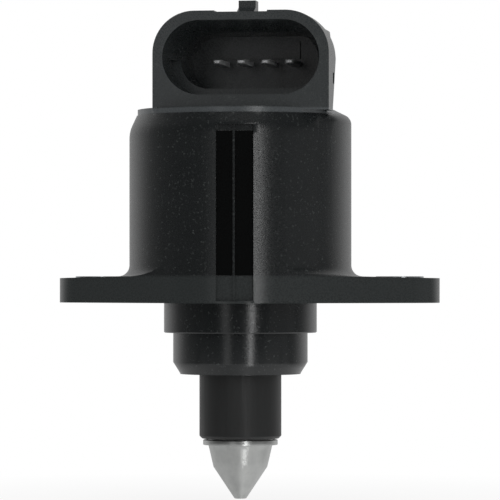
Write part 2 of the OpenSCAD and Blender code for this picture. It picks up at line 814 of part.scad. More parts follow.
module plunger_sleeve() {
    bore_r = sleeve_r - sleeve_wall;
    color("#1f2021") difference() {
        union() {
            rotate_extrude() polygon([[0, sleeve_end_z], [sleeve_r - sleeve_chamfer, sleeve_end_z],
                [sleeve_r, sleeve_end_z + sleeve_chamfer], [sleeve_r, sleeve_top_z], [0, sleeve_top_z]]);
            key_bar(key_w, sleeve_r + key_h, sleeve_top_z - key_len, sleeve_top_z);
        }
        rod(bore_r, sleeve_end_z + sleeve_end_t, sleeve_top_z + cut);
        rod(screw_r, sleeve_end_z - cut, sleeve_end_z + sleeve_end_t + cut);
    }
}

module pintle_cone() {
    color("#9b9d9c") difference() {
        rotate_extrude() polygon([[0, sleeve_end_z], [cone_step_r, sleeve_end_z],
            [cone_step_r, cone_top_z], [cone_r, cone_top_z], [cone_r, cone_step_z],
            [cone_step_r, cone_step_z], [cone_mid_r, cone_mid_z], [cone_tip_r, cone_tip_z],
            [0, cone_tip_z]]);
        rod(screw_end_r, sleeve_end_z - screw_end_h, sleeve_end_z + cut);
    }
}

housing();
connector_head();
terminal(1);  // terminal_1
terminal(2);  // terminal_2
terminal(3);  // terminal_3
terminal(4);  // terminal_4
flange_bush(-left_hole_x);  // flange_bush_left
flange_bush(right_hole_x);  // flange_bush_right
front_pole_cup();
front_pole_plate();
rear_pole_plate();
rear_pole_cup();
bobbin(floor_t + steel_t);  // front_bobbin
bobbin(stack_mid_z + steel_t);  // rear_bobbin
winding(floor_t + steel_t);  // front_winding
winding(stack_mid_z + steel_t);  // rear_winding
rotor_magnet();
rotor_hub();
bearing_inner_ring();
bearing_outer_ring();
bearing_balls();
bearing_cage();
rear_bush();
thrust_washer();
lead_screw();
plunger_sleeve();
pintle_cone();
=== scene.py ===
"""Dresses an idle air control valve: moulded black nylon, a turned metal plunger and its motor."""

import json
import math

import bmesh
import bpy
from bpy.props import FloatProperty, PointerProperty, StringProperty
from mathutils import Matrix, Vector

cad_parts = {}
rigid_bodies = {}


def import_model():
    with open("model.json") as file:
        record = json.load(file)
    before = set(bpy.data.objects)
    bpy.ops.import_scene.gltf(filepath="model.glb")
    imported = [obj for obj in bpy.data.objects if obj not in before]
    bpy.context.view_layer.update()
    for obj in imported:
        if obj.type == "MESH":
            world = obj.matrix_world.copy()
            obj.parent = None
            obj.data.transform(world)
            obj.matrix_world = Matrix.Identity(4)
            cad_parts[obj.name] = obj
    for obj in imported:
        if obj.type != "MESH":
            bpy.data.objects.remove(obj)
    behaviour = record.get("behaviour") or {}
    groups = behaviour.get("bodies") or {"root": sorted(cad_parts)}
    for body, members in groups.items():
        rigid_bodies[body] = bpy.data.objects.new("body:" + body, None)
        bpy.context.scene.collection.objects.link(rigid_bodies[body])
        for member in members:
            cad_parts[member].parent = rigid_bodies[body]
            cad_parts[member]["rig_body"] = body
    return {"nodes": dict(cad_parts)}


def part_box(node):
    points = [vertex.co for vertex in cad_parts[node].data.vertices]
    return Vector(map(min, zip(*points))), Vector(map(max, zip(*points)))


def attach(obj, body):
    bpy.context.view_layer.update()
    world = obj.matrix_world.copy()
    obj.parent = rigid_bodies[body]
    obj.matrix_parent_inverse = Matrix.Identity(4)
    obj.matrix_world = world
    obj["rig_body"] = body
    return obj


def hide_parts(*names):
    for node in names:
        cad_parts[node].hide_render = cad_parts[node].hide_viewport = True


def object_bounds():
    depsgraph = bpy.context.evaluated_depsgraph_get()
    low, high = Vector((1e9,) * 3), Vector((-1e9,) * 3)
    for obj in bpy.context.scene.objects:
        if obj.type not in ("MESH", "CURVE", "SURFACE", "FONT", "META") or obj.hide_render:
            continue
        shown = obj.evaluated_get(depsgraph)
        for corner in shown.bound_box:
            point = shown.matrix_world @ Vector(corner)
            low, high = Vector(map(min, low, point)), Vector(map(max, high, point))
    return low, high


bl_info = {
    "name": "Idle air control valve",
    "version": (1, 0, 0),
    "blender": (4, 5, 0),
    "location": "View3D > Sidebar > Valve",
    "description": "Finishes the pieces of an idle air control valve and sets a studio round it",
    "category": "Object",
}

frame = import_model()
CAD_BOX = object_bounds()
MM = 0.001

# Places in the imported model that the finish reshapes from
SOCKET_MIDDLE = Vector((1.9 * MM, 0, 39.5 * MM))
SHROUD_RIGHT_X = 15.85 * MM
SHROUD_TOP_Z = 47.0 * MM
SHROUD_CORNER_R = 6.8 * MM
SLOPE_X = 14.35 * MM
RING_R = 16.8 * MM
RIM_Z = 30.5 * MM
SEAT_Z = 31.45 * MM

# Working tolerances of the meshes
NEAR = 0.02 * MM
SAME_POINT = 1e-6
SHARP_ANGLE = math.radians(30)

# Name of the geometry nodes that thread and windings share
HELIX = "helical turns"

# Brightness of the room in reflections: by a direction's cosine to the camera, and for directions
# that lead down by their share to the camera's right
MIRRORED = (
    (-1.0, 0.55),
    (-0.9, 0.6),
    (-0.8, 0.7),
    (-0.7, 0.74),
    (-0.5, 0.54),
    (-0.3, 0.27),
    (-0.1, 0.17),
    (0.3, 0.08),
    (0.9, 0.04),
)
MIRRORED_BELOW = (
    (-0.8, 0.66),
    (-0.3, 0.52),
    (0.0, 0.66),
    (0.18, 1.0),
    (0.3, 0.74),
    (0.8, 0.76),
)

# Each lamp's name, angle from the camera in degrees, height, distance, width and height in
# metres, and power in watts
LAMPS = (
    ("strip", 17, 0.0, 0.5, (0.045, 0.8), 0.8),
    ("left_box", -22, 0.0, 0.6, (0.12, 0.5), 0.14),
    ("right_wall", 65, 0.0, 0.6, (0.5, 0.6), 0.14),
    ("overhead", 0, 0.6, 0.15, (0.4, 0.4), 0.5),
)


# Colours and nodes


def linear(hex_colour):
    """The linear RGBA of an sRGB hex colour such as #1b1d1d."""
    values = [int(hex_colour[i : i + 2], 16) / 255 for i in (1, 3, 5)]
    return [v / 12.92 if v <= 0.04045 else ((v + 0.055) / 1.055) ** 2.4 for v in values] + [1.0]


def add_node(tree, kind, settings=None, links=None):
    """Adds one node. A setting or link names a property or an input; an input may be a number."""
    node = tree.nodes.new(kind)
    for name, value in (settings or {}).items():
        if isinstance(name, str) and hasattr(node, name):
            setattr(node, name, value)
        else:
            node.inputs[name].default_value = value
    for name, output in (links or {}).items():
        tree.links.new(output, node.inputs[name])
    return node


def new_material(name, shader_settings):
    """A material with one Principled shader. Returns the material, its tree, the shader and the
    place on the object."""
    material = bpy.data.materials.new(name)
    material.use_nodes = True
    tree = material.node_tree
    tree.nodes.clear()
    shader = add_node(tree, "ShaderNodeBsdfPrincipled", shader_settings)
    add_node(tree, "ShaderNodeOutputMaterial", links={"Surface": shader.outputs["BSDF"]})
    place = add_node(tree, "ShaderNodeTexCoord").outputs["Object"]
    return material, tree, shader, place


def grain(tree, place, size_mm, detail=2.0, stretch=(1.0, 1.0, 1.0)):
    """Noise whose features are about size_mm across, stretched by the given factors."""
    scaled = add_node(tree, "ShaderNodeMapping", {"Scale": stretch}, {"Vector": place})
    noise = add_node(
        tree,
        "ShaderNodeTexNoise",
        {"Scale": 1 / (size_mm * MM), "Detail": detail, "Roughness": 0.55},
        {"Vector": scaled.outputs[0]},
    )
    return noise.outputs["Fac"]


def spread(tree, value, low, high, to_low, to_high):
    """Maps a value from one range to another and clamps it."""
    node = add_node(
        tree,
        "ShaderNodeMapRange",
        {"From Min": low, "From Max": high, "To Min": to_low, "To Max": to_high},
        {"Value": value},
    )
    return node.outputs["Result"]


def levels(tree, value, stops):
    """Grey levels by a value from -1 to 1, straight between the given (value, level) stops."""
    shifted = spread(tree, value, -1.0, 1.0, 0.0, 1.0)
    ramp = add_node(tree, "ShaderNodeValToRGB", links={"Fac": shifted})
    marks = ramp.color_ramp.elements
    while len(marks) < len(stops):
        marks.new(0.5)
    for mark, (place, level) in zip(marks, stops):
        mark.position = (place + 1) / 2
        mark.color = (level, level, level, 1)
    return ramp.outputs["Color"]


def blend_colours(tree, share, first, second):
    """Mixes two colours. Each is a hex colour or an output socket."""
    node = add_node(tree, "ShaderNodeMix", {"data_type": "RGBA"}, {0: share})
    for socket, colour in ((6, first), (7, second)):
        if isinstance(colour, str):
            node.inputs[socket].default_value = linear(colour)
        else:
            tree.links.new(colour, node.inputs[socket])
    return node.outputs[2]


def combine(tree, operation, first, second):
    """One Math node on sockets or numbers."""
    node = add_node(tree, "ShaderNodeMath", {"operation": operation})
    for index, value in enumerate((first, second)):
        if isinstance(value, (int, float)):
            node.inputs[index].default_value = value
        else:
            tree.links.new(value, node.inputs[index])
    return node.outputs[0]


def bump(tree, shader, height, depth_mm, strength):
    """Joins a height to the shader's normal, with its depth in millimetres."""
    node = add_node(
        tree,
        "ShaderNodeBump",
        {"Strength": strength, "Distance": depth_mm * MM},
        {"Height": height},
    )
    tree.links.new(node.outputs[0], shader.inputs["Normal"])


def surface(tree, shader, colour, roughness):
    """Joins a colour and a roughness to the shader."""
    tree.links.new(colour, shader.inputs["Base Color"])
    tree.links.new(roughness, shader.inputs["Roughness"])


# Materials


def moulded_nylon(name, dark, tone, speck):
    """Glass-filled nylon 66, injection moulded in a spark-eroded tool: near black, with a fine
    satin grain, soft clouds and pale specks where fibres and dust show. Returns the material,
    its tree, its shader, the place, the colour, the roughness and the grain."""
    material, tree, shader, place = new_material(name, {"IOR": 1.53})
    fine = grain(tree, place, 0.28, 3.0)
    cloud = grain(tree, place, 5.0, 2.0)
    specks = spread(tree, grain(tree, place, 0.42, 1.0), 0.63, 0.75, 0.0, 0.5)
    colour = blend_colours(tree, specks, blend_colours(tree, cloud, dark, tone), speck)
    satin = spread(tree, fine, 0.3, 0.7, 0.23, 0.33)
    return material, tree, shader, place, colour, satin, fine


def head_nylon(colours):
    """The head's nylon is painted a little paler than the housing's: painted light for the light
    that its front faces catch. The edge of its seat ring is painted paler still: a painted
    reflection."""
    material, tree, shader, place, colour, satin, fine = moulded_nylon(
        "moulded_nylon_head", colours.head_dark, colours.head, colours.nylon_speck
    )
    split = add_node(tree, "ShaderNodeSeparateXYZ", links={"Vector": place})
    # Below the seat the ring is painted pale: a painted reflection.
    reflection_fades_z, reflection_ends_z = SEAT_Z - 0.2 * MM, SEAT_Z - 0.05 * MM
    ring = spread(tree, split.outputs["Z"], reflection_fades_z, reflection_ends_z, 1.0, 0.0)
    surface(tree, shader, blend_colours(tree, ring, colour, colours.head_ring_painted_reflection), satin)
    bump(tree, shader, fine, 0.022, 0.8)
    return material


def housing_nylon(colours):
    """The housing's moulding: its groove's floor is glossier and painted near black as painted
    shade, its necks are smoother than the can, and the flange is painted paler as painted light."""
    material, tree, shader, place, colour, satin, fine = moulded_nylon(
        "moulded_nylon_housing", colours.nylon_dark, colours.nylon, colours.nylon_speck
    )
    split = add_node(tree, "ShaderNodeSeparateXYZ", links={"Vector": place})
    depth, height = split.outputs["Y"], split.outputs["Z"]
    flat = add_node(tree, "ShaderNodeCombineXYZ", links={"X": split.outputs["X"], "Y": depth})
    reach = add_node(tree, "ShaderNodeVectorMath", {"operation": "LENGTH"}, {0: flat.outputs[0]})
    radius = reach.outputs["Value"]
    _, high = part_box("housing")
    floor_outer_r, floor_inner_r = high.y - 0.62 * MM, high.y - 1.5 * MM
    groove_low_z, groove_high_z = 4.4 * MM, high.z - 3.0 * MM
    groove = combine(tree, "LESS_THAN", radius, floor_outer_r)
    for operation, value, limit in (
        ("GREATER_THAN", radius, floor_inner_r),
        ("LESS_THAN", depth, 0.0),
        ("GREATER_THAN", height, groove_low_z),
        ("LESS_THAN", height, groove_high_z),
    ):
        groove = combine(tree, "MULTIPLY", groove, combine(tree, operation, value, limit))
    # The flange is painted paler: painted light for the light that its flanks catch.
    flange_low_z, flange_fades_z, flange_ends_z = -0.1 * MM, 4.1 * MM, 4.6 * MM
    flange = combine(
        tree,
        "MULTIPLY",
        combine(tree, "GREATER_THAN", height, flange_low_z),
        spread(tree, height, flange_fades_z, flange_ends_z, 1.0, 0.0),
    )
    colour = blend_colours(tree, flange, colour, colours.flange_painted_light)
    # The groove's floor is painted near black: painted shade in the recess.
    colour = blend_colours(tree, groove, colour, colours.groove_painted_shade)
    neck_share, polished_roughness, half_step = 0.8, 0.12, 0.2 * MM
    neck = spread(tree, height, -half_step, half_step, neck_share, 1.0)
    smooth = combine(tree, "MULTIPLY", satin, neck)
    rough = add_node(tree, "ShaderNodeMix", {3: polished_roughness}, {0: groove, 2: smooth})
    surface(tree, shader, colour, rough.outputs[0])
    rest = combine(tree, "SUBTRACT", 1.0, groove)
    bump(tree, shader, combine(tree, "MULTIPLY", fine, rest), 0.015, 0.5)
    return material


def acetal(colours):
    """Acetal, injection moulded and matt, with the faint lengthways rub of a sliding fit."""
    material, tree, shader, place = new_material("moulded_acetal", {"IOR": 1.48})
    fine = grain(tree, place, 0.25, 2.0)
    rub = grain(tree, place, 0.35, 2.0, (1.0, 1.0, 0.04))
    colour = blend_colours(tree, rub, colours.acetal, colours.acetal_rubbed)
    surface(tree, shader, colour, spread(tree, rub, 0.3, 0.7, 0.42, 0.55))
    bump(tree, shader, combine(tree, "ADD", fine, rub), 0.015, 0.4)
    return material


def turned_metal(colours):
    """Zinc alloy or steel, turned and tumbled: satin grey, with fine rings round the axis from
    the tool, drawn coarser than the real 0.05 mm feed so that they show."""
    material, tree, shader, place = new_material("turned_metal", {"Metallic": 1.0})
    rings = grain(tree, place, 0.5, 3.0, (0.02, 0.02, 3.0))
    cloud = grain(tree, place, 1.6, 3.0)
    tone = blend_colours(tree, cloud, colours.cone_dark, colours.cone)
    surface(tree, shader, tone, spread(tree, cloud, 0.3, 0.7, 0.3, 0.42))
    bump(tree, shader, rings, 0.02, 0.35)
    return material


def tin_plate(colours):
    """Tin over brass strip: a pale deposit that scatters much of the light, wiped along
    the blade by test probes."""
    material, tree, shader, place = new_material("bright_tin_plate", {"Metallic": 0.2})
    wipes = grain(tree, place, 0.2, 2.0, (1.0, 0.08, 1.0))
    blotch = grain(tree, place, 0.6, 3.0)
    colour = blend_colours(tree, blotch, colours.tin, colours.tin_dull)
    surface(tree, shader, colour, spread(tree, wipes, 0.3, 0.7, 0.3, 0.5))
    bump(tree, shader, wipes, 0.01, 0.4)
    return material


def zinc_plate(colours):
    """Bright zinc over steel, barrel plated: pale grey with a slightly mottled shine."""
    material, tree, shader, place = new_material("zinc_plated_steel", {"Metallic": 1.0})
    mottle = grain(tree, place, 0.8, 3.0)
    colour = blend_colours(tree, mottle, colours.zinc, colours.zinc_dark)
    surface(tree, shader, colour, spread(tree, mottle, 0.3, 0.7, 0.24, 0.4))
    bump(tree, shader, mottle, 0.01, 0.3)
    return material


def pressed_steel(colours):
    """Low-carbon steel strip, pressed and annealed: dull grey with the strip's rolling lines."""
    material, tree, shader, place = new_material("annealed_strip_steel", {"Metallic": 1.0})
    rolled = grain(tree, place, 0.3, 2.0, (0.05, 1.0, 1.0))
    colour = blend_colours(tree, rolled, colours.strip, colours.strip_dark)
    surface(tree, shader, colour, spread(tree, rolled, 0.3, 0.7, 0.36, 0.5))
    bump(tree, shader, rolled, 0.008, 0.3)
    return material


def ground_steel(colours):
    """Bearing steel, hardened and ground: bright, with a very fine lay round the axis."""
    material, tree, shader, place = new_material("ground_bearing_steel", {"Metallic": 1.0})
    lay = grain(tree, place, 0.15, 2.0, (0.05, 0.05, 1.0))
    colour = blend_colours(tree, lay, colours.bearing, colours.bearing_dark)
    surface(tree, shader, colour, spread(tree, lay, 0.3, 0.7, 0.14, 0.24))
    bump(tree, shader, lay, 0.004, 0.3)
    return material


def bobbin_plastic(colours):
    """Unfilled polyester, injection moulded: cream, smooth, with faint flow marks."""
    material, tree, shader, place = new_material("natural_moulded_polyester", {"IOR": 1.56})
    flow = grain(tree, place, 2.2, 3.0)
    colour = blend_colours(tree, flow, colours.bobbin, colours.bobbin_dark)
    surface(tree, shader, colour, spread(tree, flow, 0.3, 0.7, 0.35, 0.48))
    bump(tree, shader, flow, 0.01, 0.3)
    return material


def enamelled_copper(colours):
    """Copper wire under clear enamel: warm, glossy, a little darker where the enamel is thick."""
    material, tree, shader, place = new_material(
        "enamelled_copper_wire", {"Metallic": 1.0, "Coat Weight": 0.6, "Coat Roughness": 0.12}
    )
    enamel = grain(tree, place, 0.9, 3.0)
    colour = blend_colours(tree, enamel, colours.copper, colours.copper_dark)
    surface(tree, shader, colour, spread(tree, enamel, 0.3, 0.7, 0.22, 0.34))
    bump(tree, shader, enamel, 0.006, 0.2)
    return material


def bonded_ferrite(colours):
    """Ferrite powder in nylon, moulded: dark grey and dull, with a powdery grain."""
    material, tree, shader, place = new_material("bonded_ferrite", {"IOR": 1.6})
    powder = grain(tree, place, 0.2, 3.0)
    colour = blend_colours(tree, powder, colours.ferrite, colours.ferrite_pale)
    surface(tree, shader, colour, spread(tree, powder, 0.3, 0.7, 0.5, 0.68))
    bump(tree, shader, powder, 0.015, 0.4)
    return material


def turned_brass(colours):
    """Leaded brass, turned: yellow, bright, with the tool's rings round the axis."""
    material, tree, shader, place = new_material("turned_brass", {"Metallic": 1.0})
    rings = grain(tree, place, 0.4, 2.0, (0.03, 0.03, 2.0))
    colour = blend_colours(tree, rings, colours.brass, colours.brass_dark)
    surface(tree, shader, colour, spread(tree, rings, 0.3, 0.7, 0.22, 0.34))
    bump(tree, shader, rings, 0.01, 0.3)
    return material


# Meshes and pieces


def give(piece, material):
    """Leaves the material as the piece's only one."""
    piece.data.materials.clear()
    piece.data.materials.append(material)


def link(name, mesh):
    """A new object at the origin that holds the mesh."""
    piece = bpy.data.objects.new(name, mesh)
    bpy.context.scene.collection.objects.link(piece)
    return piece


def stand_in(piece, node, material):
    """Puts a finished piece in a node's place: its body and its material."""
    give(piece, material)
    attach(piece, frame["nodes"][node]["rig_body"])
    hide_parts(node)


def open_socket(work):
    """Eases the head's socket: its upper half narrows by a slope in place of a step, its inner
    end is as wide as the space before it, and the ledge over the terminals stands out less."""
    round_r = 4.6 * MM
    ledge_y, low_ledge_y = 8.5 * MM, 9.5 * MM
    inner_reach, end_reach = 6.75 * MM, 5.55 * MM
    upper_y, lower_y, end_y, floor_y = -7.5 * MM, -2.5 * MM, 2.0 * MM, 10.0 * MM
    for vertex in work.verts:
        x, y, z = vertex.co - SOCKET_MIDDLE
        beyond = math.hypot(max(abs(x) - inner_reach, 0.0), z) - round_r
        on_end = math.hypot(max(abs(x) - end_reach, 0.0), z) - round_r
        if abs(y - upper_y) < NEAR and z > -NEAR and beyond < NEAR:
            vertex.co.y = lower_y
        elif end_y - NEAR < y < floor_y + NEAR and abs(on_end) < NEAR:
            if abs(x) > end_reach - NEAR:
                vertex.co.x += math.copysign(inner_reach - end_reach, x)
        elif abs(y - ledge_y) < NEAR and z > 0 and beyond < 0:
            vertex.co.y = low_ledge_y


def widen_shroud(work):
    """Sets the shroud's right side out a little and makes its corner fuller."""
    outset = 0.35 * MM
    middle_x, middle_z = SHROUD_RIGHT_X - SHROUD_CORNER_R, SHROUD_TOP_Z - SHROUD_CORNER_R
    for vertex in work.verts:
        x, _, z = vertex.co
        reach = math.hypot(x - middle_x, max(z - middle_z, 0.0))
        if x > middle_x and abs(reach - SHROUD_CORNER_R) < NEAR:
            vertex.co.x += outset * (x - middle_x) / SHROUD_CORNER_R


def fade(vertex, base_r):
    """Draws a point of the slope beside the socket to the given radius at the slope's start, and
    less and less towards its middle."""
    fade_angle = math.radians(15)
    x, y, _ = vertex.co
    radius = math.hypot(x, y)
    if x < SLOPE_X - NEAR:
        return
    along = math.acos(min(SLOPE_X / radius, 1.0)) - math.atan2(abs(y), x)
    share = min(max(along / fade_angle, 0.0), 1.0)
    share = share * share * (3 - 2 * share)
    radius = base_r + (radius - base_r) * share
    vertex.co.y = math.copysign(math.sqrt(max(radius**2 - x**2, 0.0)), y)


def shape_head(work):
    """The head's socket, its right side, and its ring run on into the slope beside the socket."""
    open_socket(work)
    widen_shroud(work)
    inner_r, outer_r = 0.9 * RING_R, 1.04 * RING_R
    for vertex in work.verts:
        x, y, z = vertex.co
        on_ring = inner_r < math.hypot(x, y) < outer_r
        if on_ring and RIM_Z - NEAR < z < SEAT_Z + NEAR:
            fade(vertex, RING_R)


def shape_housing(work):
    """Lets the slope beside the socket fade into the can's shoulder on both sides."""
    bend_z, bend_r, angle = 26.8 * MM, 5.0 * MM, math.radians(25)
    wall_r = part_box("housing")[1].y
    parts = work.verts[:] + work.edges[:] + work.faces[:]
    bmesh.ops.bisect_plane(work, geom=parts, plane_co=(0, 0, bend_z), plane_no=(0, 0, 1))
    for vertex in work.verts:
        x, y, z = vertex.co
        if z < bend_z:
            continue
        turn = min(z - bend_z, bend_r * math.sin(angle))
        shoulder_r = wall_r - bend_r + math.sqrt(bend_r**2 - turn**2)
        shoulder_r -= (z - bend_z - turn) * math.tan(angle)
        if math.hypot(x, y) > shoulder_r:
            fade(vertex, shoulder_r)


def softened(node, name, width_mm, reshape=None):
    """A copy of a node with its sharp edges rounded, as a mould or a tumbler leaves them, and
    reshaped before that by the given function."""
    closed_gap, sliver = 0.01 * MM, 0.005 * MM
    flat_angle, edge_angle = math.radians(0.4), math.radians(35)
    mesh = frame["nodes"][node].data.copy()
    mesh.name = name
    work = bmesh.new()
    work.from_mesh(mesh)
    bmesh.ops.remove_doubles(work, verts=work.verts, dist=SAME_POINT)
    if reshape:
        reshape(work)
        bmesh.ops.remove_doubles(work, verts=work.verts, dist=closed_gap)
        bmesh.ops.dissolve_degenerate(work, dist=sliver, edges=work.edges)
    bmesh.ops.dissolve_limit(work, angle_limit=flat_angle, verts=work.verts, edges=work.edges)
    work.to_mesh(mesh)
    work.free()
    piece = link(name, mesh)
    bevel = piece.modifiers.new("round edges", "BEVEL")
    bevel.width = width_mm * MM
    bevel.segments = 2
    bevel.limit_method = "ANGLE"
    bevel.angle_limit = edge_angle
    bevel.miter_outer = "MITER_ARC"
    bevel.use_clamp_overlap = True
    settle(piece)
    piece.data.shade_smooth()
    piece.data.set_sharp_from_angle(angle=SHARP_ANGLE)
    flat = piece.modifiers.new("flat faces", "WEIGHTED_NORMAL")
    flat.keep_sharp = True
    settle(piece)
    return piece


def lathed(name, profile_mm, steps=48):
    """A closed round body about the valve axis, from (radius, height) corners in millimetres."""
    work = bmesh.new()
    corners = [work.verts.new((r * MM, 0, z * MM)) for r, z in profile_mm]
    edges = [work.edges.new(pair) for pair in zip(corners, corners[1:])]
    bmesh.ops.spin(
        work,
        geom=corners + edges,
        cent=(0, 0, 0),
        axis=(0, 0, 1),
        angle=math.tau,
        steps=steps,
    )
    bmesh.ops.remove_doubles(work, verts=work.verts, dist=SAME_POINT)
    bmesh.ops.recalc_face_normals(work, faces=work.faces)
    mesh = bpy.data.meshes.new(name)
    work.to_mesh(mesh)
    work.free()
    mesh.shade_smooth()
    mesh.set_sharp_from_angle(angle=SHARP_ANGLE)
    return link(name, mesh)


def helix_tree():
    """Geometry nodes that add a helix to a body: a thread's ridge or a winding's turns."""
    tree = bpy.data.node_groups.new(HELIX, "GeometryNodeTree")
    tree.interface.new_socket("Body", in_out="INPUT", socket_type="NodeSocketGeometry")
    for name, kind in (
        ("Radius", "Float"),
        ("Turns", "Float"),
        ("Start", "Float"),
        ("Length", "Float"),
        ("Section radius", "Float"),
        ("Section corners", "Int"),
        ("Material", "Material"),
    ):
        tree.interface.new_socket(name, in_out="INPUT", socket_type="NodeSocket" + kind)
    tree.interface.new_socket("Geometry", in_out="OUTPUT", socket_type="NodeSocketGeometry")
    given = tree.nodes.new("NodeGroupInput").outputs
    path = add_node(
        tree,
        "GeometryNodeCurveSpiral",
        {"Resolution": 24},
        {
            "Rotations": given["Turns"],
            "Start Radius": given["Radius"],
            "End Radius": given["Radius"],
            "Height": given["Length"],
        },
    )
    upright = add_node(tree, "GeometryNodeSetCurveNormal", {"mode": "Z_UP"}, {0: path.outputs[0]})
    rise = add_node(tree, "ShaderNodeCombineXYZ", links={"Z": given["Start"]})
    raised = add_node(
        tree,
        "GeometryNodeTransform",
        links={"Geometry": upright.outputs[0], "Translation": rise.outputs[0]},
    )
    section = add_node(
        tree,
        "GeometryNodeCurvePrimitiveCircle",
        links={"Resolution": given["Section corners"], "Radius": given["Section radius"]},
    )
    swept = add_node(
        tree,
        "GeometryNodeCurveToMesh",
        {"Fill Caps": True},
        {"Curve": raised.outputs[0], "Profile Curve": section.outputs[0]},
    )
    joined = add_node(tree, "GeometryNodeJoinGeometry", links={0: swept.outputs[0]})
    tree.links.new(given["Body"], joined.inputs[0])
    real = add_node(tree, "GeometryNodeRealizeInstances", links={0: joined.outputs[0]})
    dressed = add_node(
        tree,
        "GeometryNodeSetMaterial",
        links={"Geometry": real.outputs[0], "Material": given["Material"]},
    )
    add_node(tree, "NodeGroupOutput", links={0: dressed.outputs[0]})
    return tree


def add_helix(piece, values):
    """Adds a helix to a piece by the tree's named inputs and leaves a plain mesh."""
    tree = bpy.data.node_groups.get(HELIX) or helix_tree()
    modifier = piece.modifiers.new("helix", "NODES")
    modifier.node_group = tree
    for item in tree.interface.items_tree:
        if item.name in values:
            modifier[item.identifier] = values[item.name]
    settle(piece)


def settle(piece):
    """Applies a piece's modifiers and leaves a plain mesh."""
    made = bpy.data.meshes.new_from_object(
        piece.evaluated_get(bpy.context.evaluated_depsgraph_get())
    )
    piece.modifiers.clear()
    piece.data = made


class ValveSizes(bpy.types.PropertyGroup):
    """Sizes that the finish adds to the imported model."""

    mould_edge: FloatProperty(
        name="Moulded edge", description="Radius on the mouldings' edges, in mm", default=0.22
    )
    metal_edge: FloatProperty(
        name="Metal edge", description="Radius on the metal pieces' edges, in mm", default=0.08
    )
    thread_pitch: FloatProperty(
        name="Thread pitch", description="Pitch of the lead screw, in mm", default=1.0
    )
    thread_depth: FloatProperty(
        name="Thread depth", description="Depth of the lead screw's thread, in mm", default=0.4
    )
    wire: FloatProperty(
        name="Wire",
        description="Diameter of the winding's wire, in mm, coarser than real",
        default=0.45,
    )


class ValveColours(bpy.types.PropertyGroup):
    """The finishes' colours as sRGB hex values."""

    # The head's tones are painted paler than the housing's: painted light for the light its front
    # faces catch.
    head: StringProperty(name="Head nylon", description="Main tone of the head", default="#35393a")
    head_dark: StringProperty(
        name="Head nylon, dark", description="Clouds in it", default="#2a2e2f"
    )
    # The seat ring's edge is painted paler still: a painted reflection.
    head_ring_painted_reflection: StringProperty(
        name="Head nylon, rubbed", description="Edge of the head's seat ring", default="#4a4e50"
    )
    nylon: StringProperty(name="Nylon", description="Main tone of the housing", default="#1c1f20")
    nylon_dark: StringProperty(
        name="Nylon, dark", description="Darker clouds in it", default="#151819"
    )
    nylon_speck: StringProperty(
        name="Nylon specks", description="Pale specks in it", default="#4c504f"
    )
    # The flange's paler tone is painted light.
    flange_painted_light: StringProperty(
        name="Nylon, rubbed", description="Flange's edge", default="#2c3030"
    )
    # The groove floor's near black is painted shade.
    groove_painted_shade: StringProperty(
        name="Nylon, polished", description="Floor of the groove", default="#060707"
    )
    acetal: StringProperty(name="Acetal", description="Plunger's sleeve", default="#1b1c1c")
    acetal_rubbed: StringProperty(
        name="Acetal, rubbed", description="Worn lines in it", default="#252626"
    )
    cone: StringProperty(
        name="Cone", description="Turned metal of the plunger's end", default="#cdcecc"
    )
    cone_dark: StringProperty(
        name="Cone, dark", description="Darker patches in it", default="#a5a7a6"
    )
    tin: StringProperty(name="Tin", description="Plating of the terminals", default="#f0f1f1")
    tin_dull: StringProperty(
        name="Tin, dull", description="Duller patches in it", default="#c3c6c7"
    )
    zinc: StringProperty(name="Zinc", description="Plating of the bushes", default="#c8ccce")
    zinc_dark: StringProperty(name="Zinc, dark", description="Mottling in it", default="#9fa4a7")
    strip: StringProperty(name="Strip steel", description="Pole plates", default="#a3a7aa")
    strip_dark: StringProperty(
        name="Strip steel, dark", description="Rolling lines", default="#82868a"
    )
    bearing: StringProperty(name="Bearing steel", description="Rings and balls", default="#d2d5d7")
    bearing_dark: StringProperty(
        name="Bearing steel, dark", description="Grinding lay", default="#b0b4b7"
    )
    bobbin: StringProperty(name="Bobbin", description="Natural polyester", default="#d9cda9")
    bobbin_dark: StringProperty(name="Bobbin, dark", description="Flow marks", default="#c4b68e")
    copper: StringProperty(name="Copper", description="Winding wire", default="#c9734a")
    copper_dark: StringProperty(name="Copper, dark", description="Thick enamel", default="#9a4d2c")
    ferrite: StringProperty(name="Ferrite", description="Rotor magnet", default="#2c2d2f")
    ferrite_pale: StringProperty(
        name="Ferrite, pale", description="Powder grain", default="#47494c"
    )
    brass: StringProperty(name="Brass", description="Hub and rear bush", default="#c9a657")
    brass_dark: StringProperty(name="Brass, dark", description="Tool rings", default="#a8863c")


class ValveStudio(bpy.types.PropertyGroup):
    """The camera's place and the lamps."""

    azimuth: FloatProperty(
        name="Azimuth", description="Camera's angle from the socket's side, in degrees", default=9.0
    )
    distance: FloatProperty(
        name="Distance", description="Camera's distance from the valve axis, in metres", default=0.6
    )
    eye_height: FloatProperty(
        name="Eye height", description="Camera's height over the seating face, in mm", default=4.5
    )
    view_width: FloatProperty(
        name="View width", description="Width seen at the valve axis, in mm", default=81.8
    )
    aim_side: FloatProperty(
        name="Aim aside", description="Aim to the right of the axis, in mm", default=1.57
    )
    aim_height: FloatProperty(
        name="Aim height", description="Aim over the seating face, in mm", default=8.6
    )
    ambient: FloatProperty(
        name="Ambient", description="Level of the soft light from all round", default=0.5
    )


def sizes():
    """The scene's sizes."""
    return bpy.context.scene.valve_sizes


def colours():
    """The scene's colours."""
    return bpy.context.scene.valve_colours


def studio():
    """The scene's camera and lamp values."""
    return bpy.context.scene.valve_studio


# Pieces


class VALVE_OT_housing(bpy.types.Operator):
    """Rounds the housing's edges and gives it its moulded nylon"""

    bl_idname = "valve.housing"
    bl_label = "Housing"

    def execute(self, context):
        housing = softened("housing", "housing_moulding", sizes().mould_edge, shape_housing)
        stand_in(housing, "housing", housing_nylon(colours()))
        return {"FINISHED"}


